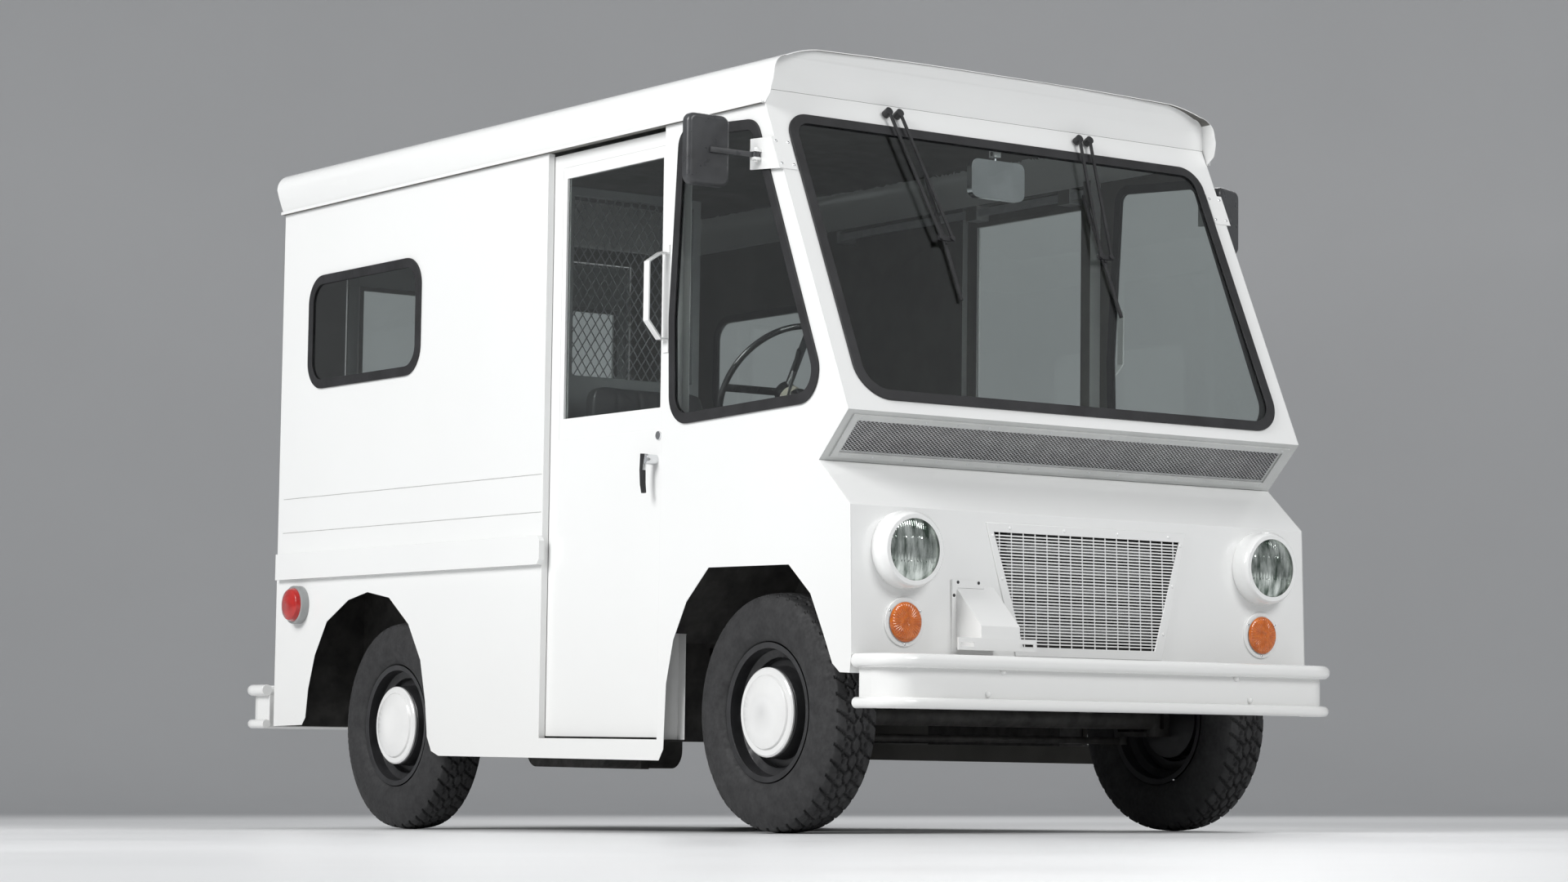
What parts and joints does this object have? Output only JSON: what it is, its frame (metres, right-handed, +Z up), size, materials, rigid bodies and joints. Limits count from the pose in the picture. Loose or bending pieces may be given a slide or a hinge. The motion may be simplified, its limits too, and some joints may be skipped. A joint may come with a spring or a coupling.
{
  "type": "mail delivery truck",
  "caption": "Right-hand-drive walk-in postal delivery truck with sliding cab doors, two rear doors, turning wheels, coupled steering, wipers, swivelling mirrors and pedals.",
  "frame": {"origin": "bottom centre of the whole truck's box, on the ground", "axes": "+Y towards the rear of the truck, front faces -Y; +Z up; -X is the truck's right side"},
  "size_m": [2.2537, 3.8856, 2.3849],
  "materials": {
    "body_paint": "gloss",
    "black_rubber": "matte",
    "glass": "gloss",
    "chrome": "polished",
    "black_paint": "satin",
    "grey_paint": "satin",
    "aluminium": "satin",
    "lamp_lens": "gloss",
    "amber_lens": "gloss",
    "red_lens": "gloss",
    "seat_vinyl": "satin",
    "cream_paint": "gloss",
    "cast_iron": "matte"
  },
  "bodies": {
    "van_body": {"axles": "black_paint", "body_sides": "body_paint", "bumpers": "body_paint", "chassis_frame": "black_paint", "dash_panel": "body_paint", "door_tracks": "grey_paint", "drive_line": "cast_iron", "floor_pan": "grey_paint", "front_housing": "body_paint", "fuel_tank": "black_paint", "grab_handles": "body_paint", "head_lamps": "lamp_lens", "intake_frame": "grey_paint", "leaf_springs": "black_paint", "mirror_brackets": "body_paint", "nose_panel": "body_paint", "partition_screen": "grey_paint", "radiator_grille": "aluminium", "rear_end_panel": "body_paint", "roof_cap": "body_paint", "seat_cushions": "seat_vinyl", "seat_pedestal": "grey_paint", "steering_column": "cream_paint", "tail_lamps": "red_lens", "turn_signals": "amber_lens", "window_glass": "glass", "window_seals": "black_rubber", "windshield_surround": "body_paint"},
    "right_sliding_door": {"sliding_door_right": "body_paint"},
    "left_sliding_door": {"sliding_door_left": "body_paint"},
    "right_door_handle": {"door_handle_right": "chrome"},
    "left_door_handle": {"door_handle_left": "chrome"},
    "rear_door_right": {"rear_door_right": "body_paint"},
    "rear_door_left": {"rear_door_left": "body_paint"},
    "rear_door_handle": {"rear_door_handle": "chrome"},
    "right_knuckle": {"steering_knuckle_right": "black_paint"},
    "left_knuckle": {"steering_knuckle_left": "black_paint"},
    "tie_rod": {"tie_rod": "black_paint"},
    "steering_wheel": {"steering_wheel": "black_rubber"},
    "gear_lever": {"gear_lever": "chrome"},
    "front_right_wheel": {"wheel_front_right": "black_paint", "tyre_front_right": "black_rubber"},
    "front_left_wheel": {"wheel_front_left": "black_paint", "tyre_front_left": "black_rubber"},
    "rear_right_wheel": {"wheel_rear_right": "black_paint", "tyre_rear_right": "black_rubber"},
    "rear_left_wheel": {"wheel_rear_left": "black_paint", "tyre_rear_left": "black_rubber"},
    "mirror_right": {"mirror_head_right": "grey_paint"},
    "mirror_left": {"mirror_head_left": "grey_paint"},
    "interior_mirror": {"interior_mirror": "chrome"},
    "brake_pedal": {"brake_pedal": "black_rubber"},
    "throttle_pedal": {"throttle_pedal": "black_rubber"},
    "wiper_arm_right": {"wiper_arm_right": "black_paint"},
    "wiper_link_right": {"wiper_link_right": "black_paint"},
    "wiper_blade_right": {"wiper_blade_right": "black_paint"},
    "wiper_arm_left": {"wiper_arm_left": "black_paint"},
    "wiper_link_left": {"wiper_link_left": "black_paint"},
    "wiper_blade_left": {"wiper_blade_left": "black_paint"}
  },
  "joints": [
    {"name": "right_door_slide", "type": "slide", "parent": "van_body", "child": "right_sliding_door", "axis": [0, 0.9998, 0.0214], "range_m": [0, 0.54]},
    {"name": "left_door_slide", "type": "slide", "parent": "van_body", "child": "left_sliding_door", "axis": [0, 0.9998, 0.0214], "range_m": [0, 0.54]},
    {"name": "right_door_handle_turn", "type": "hinge", "parent": "right_sliding_door", "child": "right_door_handle", "pos_m": [-0.852, -0.74437, 1.12995], "axis": [1, 0, 0], "range_deg": [0, 40], "stiffness_Nm_per_rad": 1.2},
    {"name": "left_door_handle_turn", "type": "hinge", "parent": "left_sliding_door", "child": "left_door_handle", "pos_m": [0.852, -0.74437, 1.12995], "axis": [1, 0, 0], "range_deg": [0, 40], "stiffness_Nm_per_rad": 1.2},
    {"name": "rear_door_right_hinge", "type": "hinge", "parent": "van_body", "child": "rear_door_right", "pos_m": [-0.632, 1.65833, 1.26334], "axis": [0, -0.0214, 0.9998], "range_deg": [0, 105]},
    {"name": "rear_door_left_hinge", "type": "hinge", "parent": "van_body", "child": "rear_door_left", "pos_m": [0.632, 1.65833, 1.26334], "axis": [0, -0.0214, 0.9998], "range_deg": [-105, 0]},
    {"name": "rear_door_handle_turn", "type": "hinge", "parent": "rear_door_right", "child": "rear_door_handle", "pos_m": [-0.04, 1.65233, 1.26321], "axis": [0, 0.9998, 0.0214], "range_deg": [-90, 0]},
    {"name": "right_steer", "type": "hinge", "parent": "van_body", "child": "right_knuckle", "pos_m": [-0.672, -1.29483, 0.3507], "axis": [0, -0.0214, 0.9998], "range_deg": [-30, 30]},
    {"name": "left_steer", "type": "hinge", "parent": "van_body", "child": "left_knuckle", "pos_m": [0.672, -1.29483, 0.3507], "axis": [0, -0.0214, 0.9998], "range_deg": [-30, 30]},
    {"name": "tie_rod_pivot", "type": "hinge", "parent": "right_knuckle", "child": "tie_rod", "pos_m": [-0.672, -1.1434, 0.28522], "axis": [0, -0.0214, 0.9998], "range_deg": [-30, 30]},
    {"name": "steering_wheel_turn", "type": "hinge", "parent": "van_body", "child": "steering_wheel", "pos_m": [-0.56, -1.03058, 1.32387], "axis": [0, 0.8268, 0.5624], "range_deg": [-540, 540]},
    {"name": "gear_lever_shift", "type": "hinge", "parent": "van_body", "child": "gear_lever", "pos_m": [-0.56, -1.08019, 1.29012], "axis": [0, 0.8268, 0.5624], "range_deg": [-12, 12]},
    {"name": "front_right_spin", "type": "hinge", "parent": "right_knuckle", "child": "front_right_wheel", "pos_m": [-0.757, -1.29483, 0.3507], "axis": [1, 0, 0], "continuous": true},
    {"name": "front_left_spin", "type": "hinge", "parent": "left_knuckle", "child": "front_left_wheel", "pos_m": [0.757, -1.29483, 0.3507], "axis": [1, 0, 0], "continuous": true},
    {"name": "rear_right_spin", "type": "hinge", "parent": "van_body", "child": "rear_right_wheel", "pos_m": [-0.757, 0.86416, 0.3507], "axis": [1, 0, 0], "continuous": true},
    {"name": "rear_left_spin", "type": "hinge", "parent": "van_body", "child": "rear_left_wheel", "pos_m": [0.757, 0.86416, 0.3507], "axis": [1, 0, 0], "continuous": true},
    {"name": "wiper_right_sweep", "type": "hinge", "parent": "van_body", "child": "wiper_arm_right", "pos_m": [-0.431, -1.346, 2.14932], "axis": [0, -0.9194, 0.3934], "range_deg": [-35, 35]},
    {"name": "wiper_right_link_sweep", "type": "hinge", "parent": "van_body", "child": "wiper_link_right", "pos_m": [-0.389, -1.346, 2.14932], "axis": [0, -0.9194, 0.3934], "range_deg": [-35, 35]},
    {"name": "wiper_right_blade_pivot", "type": "hinge", "parent": "wiper_arm_right", "child": "wiper_blade_right", "pos_m": [-0.367, -1.51662, 1.75058], "axis": [0, -0.9194, 0.3934], "range_deg": [-35, 35]},
    {"name": "wiper_left_sweep", "type": "hinge", "parent": "van_body", "child": "wiper_arm_left", "pos_m": [0.323, -1.346, 2.14932], "axis": [0, -0.9194, 0.3934], "range_deg": [-35, 35]},
    {"name": "wiper_left_link_sweep", "type": "hinge", "parent": "van_body", "child": "wiper_link_left", "pos_m": [0.365, -1.346, 2.14932], "axis": [0, -0.9194, 0.3934], "range_deg": [-35, 35]},
    {"name": "wiper_left_blade_pivot", "type": "hinge", "parent": "wiper_arm_left", "child": "wiper_blade_left", "pos_m": [0.259, -1.51662, 1.75058], "axis": [0, -0.9194, 0.3934], "range_deg": [-35, 35]},
    {"name": "mirror_right_swivel", "type": "hinge", "parent": "van_body", "child": "mirror_right", "pos_m": [-0.905, -1.34166, 1.97937], "axis": [0, -0.0214, 0.9998], "range_deg": [-40, 40]},
    {"name": "mirror_left_swivel", "type": "hinge", "parent": "van_body", "child": "mirror_left", "pos_m": [0.905, -1.34166, 1.97937], "axis": [0, -0.0214, 0.9998], "range_deg": [-50, 15]},
    {"name": "interior_mirror_tilt", "type": "hinge", "parent": "van_body", "child": "interior_mirror", "pos_m": [0, -1.34194, 2.07739], "axis": [1, 0, 0], "range_deg": [-10, 10]},
    {"name": "brake_pedal_press", "type": "hinge", "parent": "van_body", "child": "brake_pedal", "pos_m": [-0.6, -1.3687, 0.99857], "axis": [1, 0, 0], "range_deg": [-12, 0], "stiffness_Nm_per_rad": 25, "springref_deg": 5.73},
    {"name": "throttle_pedal_press", "type": "hinge", "parent": "van_body", "child": "throttle_pedal", "pos_m": [-0.48, -1.3687, 0.99857], "axis": [1, 0, 0], "range_deg": [-12, 0], "stiffness_Nm_per_rad": 15, "springref_deg": 5.73}
  ],
  "couplings": [
    {"joint": "left_steer", "follows": "right_steer", "ratio": 1},
    {"joint": "tie_rod_pivot", "follows": "right_steer", "ratio": -1},
    {"joint": "steering_wheel_turn", "follows": "right_steer", "ratio": 17},
    {"joint": "wiper_right_link_sweep", "follows": "wiper_right_sweep", "ratio": 1},
    {"joint": "wiper_right_blade_pivot", "follows": "wiper_right_sweep", "ratio": -1},
    {"joint": "wiper_left_sweep", "follows": "wiper_right_sweep", "ratio": 1},
    {"joint": "wiper_left_link_sweep", "follows": "wiper_right_sweep", "ratio": 1},
    {"joint": "wiper_left_blade_pivot", "follows": "wiper_right_sweep", "ratio": -1}
  ]
}
